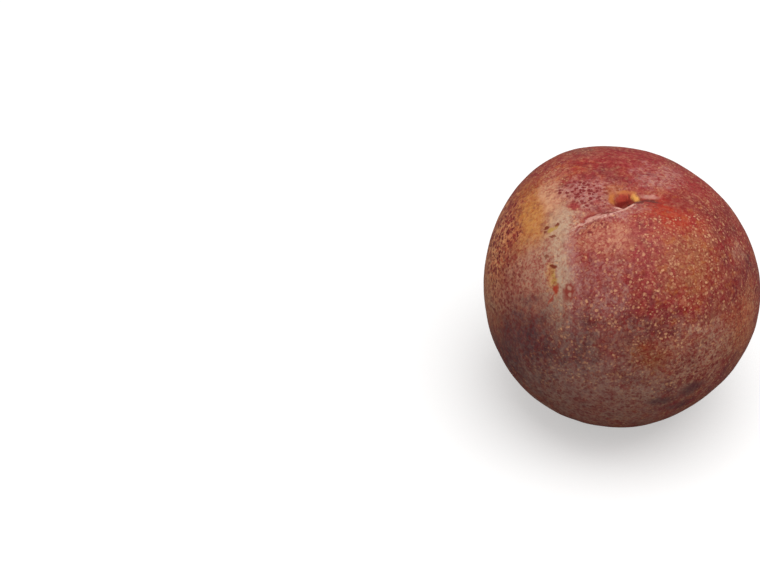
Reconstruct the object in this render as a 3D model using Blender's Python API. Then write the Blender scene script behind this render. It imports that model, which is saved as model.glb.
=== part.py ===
"""A plum as picked, standing on its blossom end with the stem cavity up.

Metres, +Z up. The origin is the centre of the small flat spot that the fruit rests on. The fruit's
front is at -Y and its right-hand side at +X. Azimuths are measured round the stem axis in degrees,
0 at the front and positive towards the right.

The skin is one closed surface made of rings. Each ring starts as a level ellipse on the fruit's
profile, and its points are then moved by the swellings, the stem cavity and the creases.
"""

import math

import bmesh
import bpy
from mathutils import Vector

MM = 0.001

# Driving dimensions
WIDTH = 62.0 * MM  # side to side
DEPTH = 65.6 * MM  # front to back
GIRTH_HEIGHT = 29.6 * MM  # of the widest ring, above the flat spot
CROWN_HEIGHT = 30.8 * MM  # of the top above the widest ring, before the cavity is sunk
FULLNESS = 2.1  # 2 is an ellipse, and more gives fuller shoulders
FOOT_RADIUS = 6.0 * MM  # of the flat spot

# The stem end sits a little to the right and front of the middle
STEM_RIGHT = 0.3 * MM
STEM_FORWARD = 3.7 * MM
STEM_LEAN_REACH = 16.0 * MM  # how far from the stem end the fruit is drawn over with it

# The cavity is a wide shallow basin with a narrow pit in it, where the stem came off
BASIN_DEPTH = 2.3 * MM
BASIN_RADIUS = 10.5 * MM
PIT_RIGHT = -0.8 * MM  # its middle, from the stem axis
PIT_FORWARD = 1.0 * MM
PIT_DEPTH = 3.4 * MM
PIT_AZIMUTH = -66.0  # of its long way
PIT_LENGTH = 2.6 * MM  # half of it, the long way
PIT_BREADTH = 1.5 * MM  # half of it, the short way
PIT_WALL_STEEPNESS = 3.2  # 2 is a soft dip, and more gives steeper walls and a flatter bottom
SCAR_HEIGHT = 0.45 * MM  # the round scar that the stem left stands up in the pit
SCAR_RADIUS = 1.1 * MM
SCAR_WALL_STEEPNESS = 4.0

# The suture passes in front of the pit, bends away to the left, and comes back to run down the
# front to the blossom end. A short crease leaves the pit on the right.
SUTURE_AZIMUTH = -30.0
SUTURE_MISS = 2.4 * MM  # how far in front of the stem axis it passes
SUTURE_BEND = 33.0  # degrees to the left
SUTURE_BEND_DISTANCE = 11.5 * MM  # from the stem axis, where it is bent most
SUTURE_BEND_REACH = 9.5 * MM
SUTURE_DEPTH = 1.0 * MM  # close to the pit
SUTURE_DEPTH_FAR = 0.18 * MM
SUTURE_DEEP_REACH = 10.0 * MM  # from the stem axis
SHORT_CREASE_AZIMUTH = 75.0
SHORT_CREASE_DEPTH = 0.75 * MM
SHORT_CREASE_LENGTH = 9.5 * MM  # from the stem axis
CREASE_STEEP_SIDE = 0.45 * MM  # how soon a crease ends towards the lip, close to the pit
CREASE_GENTLE_SIDE = 1.8 * MM  # and away from it
CREASE_WIDENS_OVER = 9.0 * MM  # the distance that makes a crease as wide again

# The flesh between the two creases stands up as a lip
LIP_HEIGHT = 1.3 * MM
LIP_REACH = 9.0 * MM  # from the stem axis
LIP_AZIMUTH = -72.0  # of its edge
LIP_WALL_FOOT = 1.4 * MM  # in front of the stem axis, where the lip's wall rises out of the pit
LIP_WALL_TOP = 2.6 * MM
LIP_RISES_OVER = 8.0 * MM  # its height grows over this distance from the short crease

# Soft swellings and hollows that take the fruit off the perfect round:
# azimuth and height angle in degrees, how far the middle moves, and how wide it is in degrees
SWELLINGS = (
    ("left half's shoulder", -146.0, 44.0, 1.8 * MM, 22.0),
    ("right half's shoulder", 34.0, 40.0, 1.0 * MM, 24.0),
    ("back of the suture", 118.0, 30.0, -0.4 * MM, 20.0),
    ("left cheek", -76.0, -14.0, -0.4 * MM, 22.0),
    ("lower left front", -38.0, -44.0, 0.3 * MM, 24.0),
    ("lower right front", 44.0, -42.0, -0.45 * MM, 18.0),
    ("right cheek", 86.0, -6.0, 1.25 * MM, 22.0),
)
# Shares of the lower half between which swellings and suture fade out, so that the foot is level
FOOT_FADE_START = 0.5
FOOT_FADE_END = 0.93

# The grid of the surface
MERIDIANS = 96
PROFILE_STEPS = 4000  # for measuring along the profile
FIRST_RING_STEP = 0.5 * MM
RING_STEP_GROWTH = 0.06  # of the distance already covered
LAST_RING_STEP = 2.2 * MM

PLUM_RED = (0.42, 0.10, 0.065, 1.0)
SKIN_ROUGHNESS = 0.45


def smooth_step(value, start, end):
    """0 before start and 1 after end, with a soft rise between them."""
    share = min(max((value - start) / (end - start), 0.0), 1.0)
    return share * share * (3.0 - 2.0 * share)


def compass(azimuth):
    """The level direction at this azimuth."""
    angle = math.radians(azimuth)
    return Vector((math.sin(angle), -math.cos(angle), 0.0))


def profile_point(turn):
    """(share of the radius, height over the widest ring) at this turn from the crown, in radians."""
    foot_share = 2.0 * FOOT_RADIUS / WIDTH
    lower_height = GIRTH_HEIGHT / (1.0 - foot_share**FULLNESS) ** (1.0 / FULLNESS)
    half_height = CROWN_HEIGHT if turn < math.pi / 2 else lower_height
    radius = abs(math.sin(turn)) ** (2.0 / FULLNESS)
    height = math.copysign(abs(math.cos(turn)) ** (2.0 / FULLNESS) * half_height, math.cos(turn))
    return radius, height


def ring_profile():
    """The rings' (radius share, height), close together at the stem end and wider further down."""
    rings = []
    covered = 0.0
    since_last = 0.0
    before = profile_point(0.0)
    for step in range(1, PROFILE_STEPS):
        here = profile_point(math.pi * step / PROFILE_STEPS)
        if here[1] <= -GIRTH_HEIGHT:
            break
        run = math.hypot((here[0] - before[0]) * WIDTH / 2, here[1] - before[1])
        covered += run
        since_last += run
        before = here
        if since_last >= min(FIRST_RING_STEP + RING_STEP_GROWTH * covered, LAST_RING_STEP):
            rings.append(here)
            since_last = 0.0
    if since_last < LAST_RING_STEP / 2:
        rings.pop()
    rings.append((2.0 * FOOT_RADIUS / WIDTH, -GIRTH_HEIGHT))
    return rings


def swelling(outward):
    """How far all the swellings together move the skin in this direction."""
    total = 0.0
    for _, azimuth, rise, amount, width in SWELLINGS:
        lift = math.radians(rise)
        middle = compass(azimuth) * math.cos(lift) + Vector((0.0, 0.0, math.sin(lift)))
        total += amount * math.exp(-0.5 * (outward.angle(middle) / math.radians(width)) ** 2)
    return total


def crease_turn(meridian, distance):
    """How far a meridian is turned at this distance from the stem axis, to follow the suture."""
    miss = math.degrees(math.atan2(SUTURE_MISS, distance))
    bend = SUTURE_BEND * math.exp(-(((distance - SUTURE_BEND_DISTANCE) / SUTURE_BEND_REACH) ** 2))
    near_suture = 0.5 + 0.5 * math.cos(math.radians(meridian - SUTURE_AZIMUTH))
    return (miss - bend) * near_suture


def past_crease(meridian, crease_azimuth, distance):
    """How far this meridian lies to the right of a crease's own meridian."""
    apart = (meridian - crease_azimuth + 180.0) % 360.0 - 180.0
    return math.radians(apart) * distance


def crease_edge(distance):
    """How soon a crease ends towards the lip at this distance from the stem axis."""
    return CREASE_STEEP_SIDE * (1.0 + distance / CREASE_WIDENS_OVER)


def crease_share(towards_lip, distance):
    """How much of a crease's depth is left this far to one side of its bottom."""
    gentle_side = max(CREASE_GENTLE_SIDE, crease_edge(distance))
    fade = crease_edge(distance) if towards_lip > 0.0 else gentle_side
    return math.exp(-((towards_lip / fade) ** 2))


def suture_depth(past_suture, distance):
    """Depth of the suture, which is deepest by the pit and a trace further down."""
    out_of_pit = smooth_step(distance, 0.0, LIP_WALL_TOP)
    near_pit = math.exp(-((distance / SUTURE_DEEP_REACH) ** 2))
    full_depth = SUTURE_DEPTH_FAR + (SUTURE_DEPTH - SUTURE_DEPTH_FAR) * near_pit
    return full_depth * out_of_pit * crease_share(past_suture, distance)


def short_crease_depth(before_crease, distance):
    """Depth of the crease on the right, which soon runs out."""
    out_of_pit = smooth_step(distance, 0.0, LIP_WALL_TOP)
    running_out = 1.0 - smooth_step(distance, LIP_WALL_TOP, SHORT_CREASE_LENGTH)
    return SHORT_CREASE_DEPTH * out_of_pit * running_out * crease_share(before_crease, distance)


def lip_share(offset, past_suture, before_short_crease):
    """1 on the flesh between the creases, 0 from their bottoms outwards and behind the lip's wall."""
    in_front = offset.dot(compass(LIP_AZIMUTH + 90.0))
    wall = smooth_step(in_front, LIP_WALL_FOOT, LIP_WALL_TOP)
    edge = 2.0 * crease_edge(offset.length)
    return wall * smooth_step(past_suture, 0.0, edge) * smooth_step(before_short_crease, 0.0, edge)


def cavity_depth(offset, lip):
    """Depth of the basin, the pit and the scar at this level offset from the stem axis."""
    from_pit = offset - Vector((PIT_RIGHT, -PIT_FORWARD, 0.0))
    along = from_pit.dot(compass(PIT_AZIMUTH)) / PIT_LENGTH
    across = from_pit.dot(compass(PIT_AZIMUTH + 90.0)) / PIT_BREADTH
    basin = BASIN_DEPTH * math.exp(-((offset.length / BASIN_RADIUS) ** 2))
    pit = PIT_DEPTH * math.exp(-(math.hypot(along, across) ** PIT_WALL_STEEPNESS))
    scar = SCAR_HEIGHT * math.exp(-((from_pit.length / SCAR_RADIUS) ** SCAR_WALL_STEEPNESS))
    return basin + pit * (1.0 - lip) - scar


def skin_point(radius, height, meridian):
    """One point of the skin, at this share of the radius and height over the widest ring."""
    distance = radius * WIDTH / 2 if height > 0.0 else WIDTH / 2
    way = compass(meridian + crease_turn(meridian, distance))
    level = Vector((way.x * radius * WIDTH / 2, way.y * radius * DEPTH / 2, 0.0))
    outward = Vector((level.x, level.y, height)).normalized()
    past_suture = past_crease(meridian, SUTURE_AZIMUTH, distance)
    before_short_crease = -past_crease(meridian, SHORT_CREASE_AZIMUTH, distance)

    foot_fade = smooth_step(height, -FOOT_FADE_END * GIRTH_HEIGHT, -FOOT_FADE_START * GIRTH_HEIGHT)
    moved_out = (swelling(outward) - suture_depth(past_suture, distance)) * foot_fade
    point = level + outward * moved_out
    point.z += GIRTH_HEIGHT + height
    if height > 0.0:
        lip = lip_share(level, past_suture, before_short_crease)
        raised = LIP_HEIGHT * lip * smooth_step(before_short_crease, 0.0, LIP_RISES_OVER)
        point.z += raised * math.exp(-((distance / LIP_REACH) ** 2))
        point.z -= cavity_depth(level, lip) + short_crease_depth(before_short_crease, distance)
        lean = math.exp(-((distance / STEM_LEAN_REACH) ** 2))
        point += Vector((STEM_RIGHT, -STEM_FORWARD, 0.0)) * lean
    return point


def skin_mesh():
    """The closed skin: a fan in the pit, bands of quads between the rings, and the flat spot."""
    bm = bmesh.new()
    pit_bottom = bm.verts.new(skin_point(0.0, CROWN_HEIGHT, 0.0))
    meridians = [360.0 * step / MERIDIANS for step in range(MERIDIANS)]
    rings = []
    for radius, height in ring_profile():
        rings.append([bm.verts.new(skin_point(radius, height, meridian)) for meridian in meridians])
    for step in range(MERIDIANS):
        after = (step + 1) % MERIDIANS
        bm.faces.new((pit_bottom, rings[0][step], rings[0][after]))
        for upper, lower in zip(rings, rings[1:]):
            bm.faces.new((upper[step], lower[step], lower[after], upper[after]))
    foot = bm.faces.new(reversed(rings[-1]))
    for edge in foot.edges:
        edge.smooth = False
    bmesh.ops.recalc_face_normals(bm, faces=bm.faces)
    mesh = bpy.data.meshes.new("plum")
    bm.to_mesh(mesh)
    bm.free()
    mesh.shade_smooth()
    return mesh


def skin_material():
    """Ripe red skin under a thin dry bloom."""
    material = bpy.data.materials.new("plum_skin")
    material.use_nodes = True
    shader = material.node_tree.nodes["Principled BSDF"]
    shader.inputs["Base Color"].default_value = PLUM_RED
    shader.inputs["Roughness"].default_value = SKIN_ROUGHNESS
    shader.inputs["Metallic"].default_value = 0.0
    return material


def build_plum():
    """The whole fruit, one object."""
    plum = bpy.data.objects.new("plum", skin_mesh())
    plum.data.materials.append(skin_material())
    bpy.context.scene.collection.objects.link(plum)


for leftover in list(bpy.data.objects):
    bpy.data.objects.remove(leftover)
build_plum()
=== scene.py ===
# %% [markdown]
# # A ripe red plum
#
# One fruit, whole and unwashed, with no stem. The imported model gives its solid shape: a round body,
# a cavity where the stem was, a suture that curls out of the cavity and down the front, and a small
# flat spot to stand on. This lesson gives that solid a smooth skin, and gives the skin its colours:
# a red ground with a golden cheek, thousands of pale pores, and the dry bloom that rubs off.

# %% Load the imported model
import math
from collections import namedtuple

import bmesh
import bpy
import numpy as np
from mathutils import Matrix, Vector


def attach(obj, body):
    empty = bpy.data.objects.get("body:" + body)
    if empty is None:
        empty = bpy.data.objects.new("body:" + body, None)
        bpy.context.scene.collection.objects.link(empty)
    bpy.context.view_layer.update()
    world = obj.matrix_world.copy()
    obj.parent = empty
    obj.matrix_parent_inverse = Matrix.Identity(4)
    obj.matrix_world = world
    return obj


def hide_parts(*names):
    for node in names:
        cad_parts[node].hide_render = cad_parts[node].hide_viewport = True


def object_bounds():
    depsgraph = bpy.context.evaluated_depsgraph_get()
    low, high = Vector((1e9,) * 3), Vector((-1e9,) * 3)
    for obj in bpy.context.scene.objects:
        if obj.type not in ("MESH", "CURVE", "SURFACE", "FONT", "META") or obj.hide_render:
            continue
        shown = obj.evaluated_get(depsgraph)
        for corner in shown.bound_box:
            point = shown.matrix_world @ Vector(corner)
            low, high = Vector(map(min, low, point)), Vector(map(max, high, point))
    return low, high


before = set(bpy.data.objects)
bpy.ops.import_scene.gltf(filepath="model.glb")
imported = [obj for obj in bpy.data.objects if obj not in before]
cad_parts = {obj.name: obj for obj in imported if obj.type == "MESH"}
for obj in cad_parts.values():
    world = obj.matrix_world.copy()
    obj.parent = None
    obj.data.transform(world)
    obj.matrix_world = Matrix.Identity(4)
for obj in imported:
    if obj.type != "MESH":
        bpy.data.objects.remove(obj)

MM = 0.001
cad_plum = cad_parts["plum"]
cad_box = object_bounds()
low, high = cad_box
middle = (low + high) / 2
size = high - low
print("plum", [round(side / MM, 1) for side in size], "mm")

# %% [markdown]
# ## The camera
#
# It looks down at the fruit from the front, as someone at a table does. A long lens from half a
# metre away keeps the round shape round. The fruit sits right of the middle of the picture. We aim
# straight at it and then slide the camera sideways, instead of turning it, so that the picture's
# level lines stay level. The camera comes first, because the markings are placed through it.

# %% Place the camera
PHOTO_WIDTH = 760
PHOTO_HEIGHT = 570
AIM = Vector((0.0, 0.0, 29.5 * MM))
AIM_SEEN_AT = Vector((617.9, 288.4))
LOOKING_DOWN = math.radians(39.0)
CAMERA_DISTANCE = 0.4836
LENS = 100.0  # in millimetres, before a sensor 36 mm wide
NEAREST_SEEN = 0.01  # in metres from the camera

look = Vector((0.0, math.cos(LOOKING_DOWN), -math.sin(LOOKING_DOWN)))
right = Vector((1.0, 0.0, 0.0))
up = right.cross(look)

bpy.ops.object.select_all(action="DESELECT")
bpy.ops.object.camera_add()
camera = bpy.context.object
camera.name = "camera"
camera.data.lens = LENS
camera.data.clip_start = NEAREST_SEEN
focal_pixels = camera.data.lens / camera.data.sensor_width * PHOTO_WIDTH
metres_per_pixel = CAMERA_DISTANCE / focal_pixels
slide = right * (PHOTO_WIDTH / 2 - AIM_SEEN_AT.x) + up * (AIM_SEEN_AT.y - PHOTO_HEIGHT / 2)
camera_turn = Matrix((right, up, -look)).transposed()
stands_at = AIM - look * CAMERA_DISTANCE + slide * metres_per_pixel
camera.matrix_world = Matrix.Translation(stands_at) @ camera_turn.to_4x4()
bpy.context.scene.camera = camera
bpy.context.view_layer.update()
print("one pixel at the fruit is", round(metres_per_pixel / MM, 3), "mm")

# %% [markdown]
# ## A smooth guide
#
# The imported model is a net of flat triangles. We never change it. A copy of it, with its doubled
# points merged and its triangles paired into quads, is subdivided until it is smooth, and serves as
# the form that the skin is drawn down onto.

# %% Make the guide
GUIDE_LEVELS = 2
SAME_PLACE = 0.001 * MM  # two points nearer than this are one


def only(piece):
    """Selects this object and nothing else, and makes it the active one."""
    bpy.ops.object.select_all(action="DESELECT")
    piece.select_set(True)
    bpy.context.view_layer.objects.active = piece


def smooth_out(piece, levels):
    """Subdivides a mesh and keeps the result."""
    only(piece)
    rounding = piece.modifiers.new("rounding", "SUBSURF")
    rounding.levels = levels
    rounding.render_levels = levels
    bpy.ops.object.modifier_apply(modifier=rounding.name)


guide = cad_plum.copy()
guide.data = cad_plum.data.copy()
guide.name = "guide"
guide.parent = None
bpy.context.scene.collection.objects.link(guide)
only(guide)
bpy.ops.object.mode_set(mode="EDIT")
bpy.ops.mesh.select_all(action="SELECT")
bpy.ops.mesh.remove_doubles(threshold=SAME_PLACE)
bpy.ops.mesh.tris_convert_to_quads()
net = bmesh.from_edit_mesh(guide.data)
pit_bottom = max(net.verts, key=lambda point: len(point.link_edges)).co.copy()
bpy.ops.object.mode_set(mode="OBJECT")
smooth_out(guide, GUIDE_LEVELS)
print("guide", len(guide.data.polygons), "faces")
print("the pit's bottom is at", [round(axis / MM, 1) for axis in pit_bottom], "mm")

# %% [markdown]
# ## The skin
#
# A plum is nearly a ball, so a UV sphere is the natural start. Its top point becomes the pit, where
# the skin's folds run together. The folds there are finer than anything elsewhere, so the rings are
# first drawn together round the top point and carried over the pit, both with proportional editing,
# which moves the points near by less and less. That leaves a lumpy ball. Its faces are cut in four, a
# Cast modifier makes it round again, and a Shrinkwrap draws it down onto the guide, straight towards
# the middle. The guide is smooth, so the skin is too, and needs no subdivision of its own.

# %% Start with a ball
SEGMENTS = 192
RINGS = 128
BALL_RADIUS = 40.0 * MM
GATHER = 0.3  # how narrow the ring round the top point becomes, as a share of what it was
GATHER_REACH = 40.0 * MM
CARRY_REACH = 45.0 * MM

bpy.ops.object.select_all(action="DESELECT")
bpy.ops.mesh.primitive_uv_sphere_add(
    segments=SEGMENTS,
    ring_count=RINGS,
    radius=BALL_RADIUS,
    location=middle,
)
skin = bpy.context.object
skin.name = "plum_skin_and_flesh"
print("ball", len(skin.data.vertices), "points")

# %% Gather the rings and carry the top over the pit
def select_points(piece, wanted):
    """In edit mode, selects the points for which wanted says yes."""
    mesh = bmesh.from_edit_mesh(piece.data)
    for point in mesh.verts:
        point.select = wanted(point.co)
    mesh.select_flush_mode()
    bmesh.update_edit_mesh(piece.data)


top = Vector((0.0, 0.0, BALL_RADIUS))
over_pit = (pit_bottom - middle).normalized() * BALL_RADIUS
only(skin)
bpy.ops.object.mode_set(mode="EDIT")
bpy.ops.mesh.select_mode(type="VERT")
select_points(skin, lambda place: (place - top).length < SAME_PLACE)
bpy.ops.transform.resize(
    value=(GATHER, GATHER, 1.0),
    center_override=middle + top,
    use_proportional_edit=True,
    proportional_edit_falloff="SMOOTH",
    proportional_size=GATHER_REACH,
)
bpy.ops.transform.translate(
    value=over_pit - top,
    use_proportional_edit=True,
    proportional_edit_falloff="SMOOTH",
    proportional_size=CARRY_REACH,
)
bpy.ops.mesh.select_all(action="SELECT")
bpy.ops.mesh.subdivide(number_cuts=1)
bpy.ops.object.mode_set(mode="OBJECT")
print("subdivided", len(skin.data.vertices), "points")

# %% Make it round again, and draw it down
round_again = skin.modifiers.new("round again", "CAST")
round_again.cast_type = "SPHERE"
round_again.factor = 1.0
round_again.use_radius_as_size = False
round_again.size = BALL_RADIUS
draw_down = skin.modifiers.new("draw down", "SHRINKWRAP")
draw_down.wrap_method = "PROJECT"
draw_down.use_negative_direction = True
draw_down.use_positive_direction = False
draw_down.target = guide
only(skin)
bpy.ops.object.modifier_apply(modifier=round_again.name)
bpy.ops.object.modifier_apply(modifier=draw_down.name)
bpy.ops.object.transform_apply(location=True, rotation=True, scale=True)
bpy.ops.object.shade_smooth()
print("skin", len(skin.data.polygons), "faces")

# %% [markdown]
# The guide has done its work, so it goes. The skin rides on the model's one body and stands in for the
# imported solid.

# %% Hand the skin over to the frame
bpy.data.objects.remove(guide)
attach(skin, "root")
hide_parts("plum")
print(skin.name, "rides on root and stands in for", cad_plum.name)

# %% [markdown]
# ## Lumps that are felt before they are seen
#
# No plum is as even as its solid. Very low swellings, three tenths of a millimetre from hollow to top,
# break the light as it runs over the skin, and far finer ones lie on them. A Displace modifier raises
# them from cloud textures. A vertex group holds the foot back, so that the flat spot still meets the
# table.

# %% Raise the lumps
WIDE_LUMPS = {"pitch": 10.0 * MM, "height": 0.30 * MM}
FINE_LUMPS = {"pitch": 2.6 * MM, "height": 0.06 * MM}
FOOT_STAYS_BELOW = 1.0 * MM
FREE_ABOVE = 4.0 * MM


def raise_lumps(piece, name, pitch, height, where):
    """Displaces a mesh by a cloud texture and keeps the result."""
    clouds = bpy.data.textures.new(name, "CLOUDS")
    clouds.noise_scale = pitch
    clouds.noise_depth = 1
    lumps = piece.modifiers.new(name, "DISPLACE")
    lumps.texture = clouds
    lumps.texture_coords = "LOCAL"
    lumps.strength = height
    lumps.mid_level = 0.5
    lumps.vertex_group = where.name
    only(piece)
    bpy.ops.object.modifier_apply(modifier=lumps.name)


off_the_table = skin.vertex_groups.new(name="off the table")
for point in skin.data.vertices:
    share = (point.co.z - FOOT_STAYS_BELOW) / (FREE_ABOVE - FOOT_STAYS_BELOW)
    off_the_table.add([point.index], min(max(share, 0.0), 1.0), "REPLACE")
raise_lumps(skin, "wide lumps", where=off_the_table, **WIDE_LUMPS)
raise_lumps(skin, "fine lumps", where=off_the_table, **FINE_LUMPS)
print("skin", [round(side / MM, 2) for side in skin.dimensions], "mm")

# %% [markdown]
# ## Measures for the painter
#
# Three things about the skin can't be read from a place in space alone, so we work them out for each
# point of the mesh and store them as attributes, which a material can read:
#
# - how far the point lies to the side of the suture, left or right, because the fruit is a different
#   colour on each side of it;
# - how far along the suture it lies, counted from the pit;
# - how sharply the skin bends there, out over a crest or in along a crease.

# %% Trace the suture on the skin
SUTURE_SEEN_AT = (
    (640, 202), (619, 209), (603, 213), (591, 217), (582, 224), (575, 233),
    (572, 250), (575, 263), (578, 284), (578, 302), (572, 331), (566, 388),
)


def seen_at(x, y):
    """The point of the skin that is seen at this pixel of the picture."""
    ray = look * focal_pixels + right * (x - PHOTO_WIDTH / 2) + up * (PHOTO_HEIGHT / 2 - y)
    found, place, _, _ = skin.ray_cast(camera.location, ray.normalized())
    if not found:
        raise ValueError(f"pixel {x}, {y} misses the fruit")
    return place


bpy.context.view_layer.update()
route = [np.array(seen_at(x, y)) for x, y in SUTURE_SEEN_AT]
print("suture traced through", len(route), "points")

# %% [markdown]
# Each point of the skin is compared with every leg of that route. The nearest leg says how far the
# point is from the suture, on which side of it, and how far the route has run by then.

# %% Measure from the suture
def numbers(items, name, width=3):
    """One property of many mesh items, as rows of a numpy array."""
    found = np.empty(len(items) * width, dtype=np.int64 if name == "vertices" else np.float64)
    items.foreach_get(name, found)
    return found.reshape(-1, width)


def measure_from(route, places):
    """For each place, how far it lies to the right of a route over the skin, and how far along it."""
    nearest = np.full(len(places), np.inf)
    side = np.zeros(len(places))
    along = np.zeros(len(places))
    walked = 0.0
    for start, end in zip(route, route[1:]):
        leg = end - start
        length = np.linalg.norm(leg)
        share = np.clip((places - start) @ leg / length**2, 0.0, 1.0)
        gap = places - start - share[:, None] * leg
        distance = np.linalg.norm(gap, axis=1)
        to_the_right = np.cross(start - np.array(middle), leg)
        closer = distance < nearest
        nearest = np.where(closer, distance, nearest)
        side = np.where(closer, distance * np.sign(gap @ to_the_right), side)
        along = np.where(closer, walked + share * length, along)
        walked += length
    return side, along


side, along = measure_from(route, numbers(skin.data.vertices, "co"))
print("suture", round(float(along.max()) / MM, 1), "mm long")

# %% [markdown]
# The bend is read from the mesh's edges. Where the skin is flat, an edge lies square to the normal at
# its ends. The more it leans away from that over its length, the more sharply the skin bends.

# %% Measure the bend
def bend_of(mesh):
    """How sharply the skin turns at each point, per millimetre: over a crest more than nought."""
    places = numbers(mesh.vertices, "co")
    outward = numbers(mesh.vertices, "normal")
    first, last = numbers(mesh.edges, "vertices", 2).T
    step = places[last] - places[first]
    apart = (step**2).sum(axis=1)
    turn_at_first = -2 * (step * outward[first]).sum(axis=1) / apart
    turn_at_last = 2 * (step * outward[last]).sum(axis=1) / apart
    ends = np.concatenate((first, last))
    turns = np.bincount(ends, np.concatenate((turn_at_first, turn_at_last)))
    return turns / np.bincount(ends) * MM


bend_at = bend_of(skin.data)
print("bend measured at", len(bend_at), "points")

# %% [markdown]
# The three measures are kept on the mesh itself, so they travel with the skin wherever it goes.

# %% Store the measures
def store(mesh, name, values):
    """Keeps one number for each point of the mesh, where a material can read it."""
    mesh.attributes.new(name, "FLOAT", "POINT").data.foreach_set("value", values.astype(np.float32))
    print(name, "from", round(float(values.min()), 2), "to", round(float(values.max()), 2))


store(skin.data, "right of suture", side / MM)
store(skin.data, "along suture", along / MM)
store(skin.data, "bend", bend_at)

# %% [markdown]
# ## Tools for painting
#
# A material is a tree of small nodes. Writing each one out takes several lines, so one helper adds a
# node and fills its inputs: a number or colour is set, and another node's output is linked. The other
# helpers add the nodes that we need most: sums, masks, noise and node groups.

# %% A helper that adds a node
def node(tree, kind, inputs=None, **settings):
    """Adds a shader node, with its settings, and with values or links for its inputs."""
    made = tree.nodes.new(kind)
    for name, value in settings.items():
        setattr(made, name, value)
    for name, value in (inputs or {}).items():
        if isinstance(value, bpy.types.NodeSocket):
            tree.links.new(value, made.inputs[name])
        else:
            made.inputs[name].default_value = value
    return made


def sums(tree, operation, first, second, third=0.0):
    """The result of one Math node."""
    return node(tree, "ShaderNodeMath", {0: first, 1: second, 2: third}, operation=operation).outputs[0]


# %% Helpers for masks and noise
def between(tree, value, none_at, full_at):
    """A mask that rises smoothly from 0 to 1 between two values."""
    rise = node(
        tree,
        "ShaderNodeMapRange",
        {"Value": value, "From Min": none_at, "From Max": full_at},
        interpolation_type="SMOOTHSTEP",
    )
    return rise.outputs["Result"]


def noise(tree, place, pitch, detail=3.0, roughness=0.5):
    """Cloudy noise whose clouds are about this far apart."""
    settings = {"Vector": place, "Scale": 1 / pitch, "Detail": detail, "Roughness": roughness}
    return node(tree, "ShaderNodeTexNoise", settings)


# %% Helpers for node groups
def new_group(name, takes, gives):
    """An empty node group with its sockets, and its input and output nodes."""
    group = bpy.data.node_groups.new(name, "ShaderNodeTree")
    for title, kind in takes.items():
        group.interface.new_socket(title, in_out="INPUT", socket_type=kind)
    for title, kind in gives.items():
        group.interface.new_socket(title, in_out="OUTPUT", socket_type=kind)
    taken = group.nodes.new("NodeGroupInput").outputs
    given = group.nodes.new("NodeGroupOutput").inputs
    return group, taken, given


def place_group(tree, group, inputs):
    """Places a node group in a material and gives its one output."""
    return node(tree, "ShaderNodeGroup", inputs, node_tree=group).outputs[0]


print("the helpers are ready")

# %% [markdown]
# ### A soft patch
#
# Most of what we paint is a patch: a golden cheek, a rubbed spot, a scar. Each is an egg-shaped
# region in space with a soft edge. A Mapping node set to Texture moves, turns and shrinks space until
# the egg is a ball, and a Gradient Texture set to Spherical falls from 1 in the ball's middle to 0 at
# its edge. The ball is made four times as wide as the patch, so that a soft and ragged edge has room.
# It is used dozens of times with other values, so it is a node group, built once.

# %% Build the soft patch group
GRADIENT_REACH = 4.0  # as a share of the patch's own reach
soft_patch, taken, given = new_group(
    "soft patch",
    {
        "Place": "NodeSocketVector",
        "Centre": "NodeSocketVector",
        "Turn": "NodeSocketVector",
        "Reach": "NodeSocketVector",
        "Softness": "NodeSocketFloat",
        "Fray": "NodeSocketFloat",
    },
    {"Mask": "NodeSocketFloat"},
)
in_ball = node(
    soft_patch,
    "ShaderNodeMapping",
    {
        "Vector": taken["Place"],
        "Location": taken["Centre"],
        "Rotation": taken["Turn"],
        "Scale": taken["Reach"],
    },
    vector_type="TEXTURE",
)
falling = node(
    soft_patch,
    "ShaderNodeTexGradient",
    {"Vector": in_ball.outputs[0]},
    gradient_type="SPHERICAL",
)
from_middle = sums(soft_patch, "MULTIPLY_ADD", falling.outputs["Fac"], -GRADIENT_REACH, GRADIENT_REACH)
depth = sums(soft_patch, "ADD", from_middle, taken["Fray"])
outer = sums(soft_patch, "ADD", 1.0, taken["Softness"])
inner = sums(soft_patch, "SUBTRACT", 1.0, taken["Softness"])
soft_patch.links.new(between(soft_patch, depth, outer, inner), given["Mask"])
print(soft_patch.name, len(soft_patch.nodes), "nodes")

# %% [markdown]
# ### Speckles
#
# Pores and freckles are dots of one kind, strewn unevenly. A Voronoi texture fills space with cells,
# each with one middle and one random colour. The distance to the middle makes the dot, and the random
# colour makes some dots larger and leaves some out.

# %% Build the speckles group
SMALLEST_DOT = 0.6  # as a share of the size asked for
DOT_SPREAD = 0.8
FAINTEST_DOT = 0.4
STRENGTH_SPREAD = 0.6
speckles, taken, given = new_group(
    "speckles",
    {
        "Place": "NodeSocketVector",
        "Cells per Metre": "NodeSocketFloat",
        "Size": "NodeSocketFloat",
        "Share": "NodeSocketFloat",
        "Softness": "NodeSocketFloat",
    },
    {"Mask": "NodeSocketFloat"},
)
cells = node(
    speckles,
    "ShaderNodeTexVoronoi",
    {"Vector": taken["Place"], "Scale": taken["Cells per Metre"]},
)
chance = node(speckles, "ShaderNodeSeparateColor", {0: cells.outputs["Color"]}).outputs
how_large = sums(speckles, "MULTIPLY_ADD", chance["Red"], DOT_SPREAD, SMALLEST_DOT)
radius = sums(speckles, "MULTIPLY", taken["Size"], how_large)
core = sums(speckles, "MULTIPLY", radius, sums(speckles, "SUBTRACT", 1.0, taken["Softness"]))
dot = between(speckles, cells.outputs["Distance"], radius, core)
kept = sums(speckles, "LESS_THAN", chance["Green"], taken["Share"])
how_strong = sums(speckles, "MULTIPLY_ADD", chance["Blue"], STRENGTH_SPREAD, FAINTEST_DOT)
strength = sums(speckles, "MULTIPLY", kept, how_strong)
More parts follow.
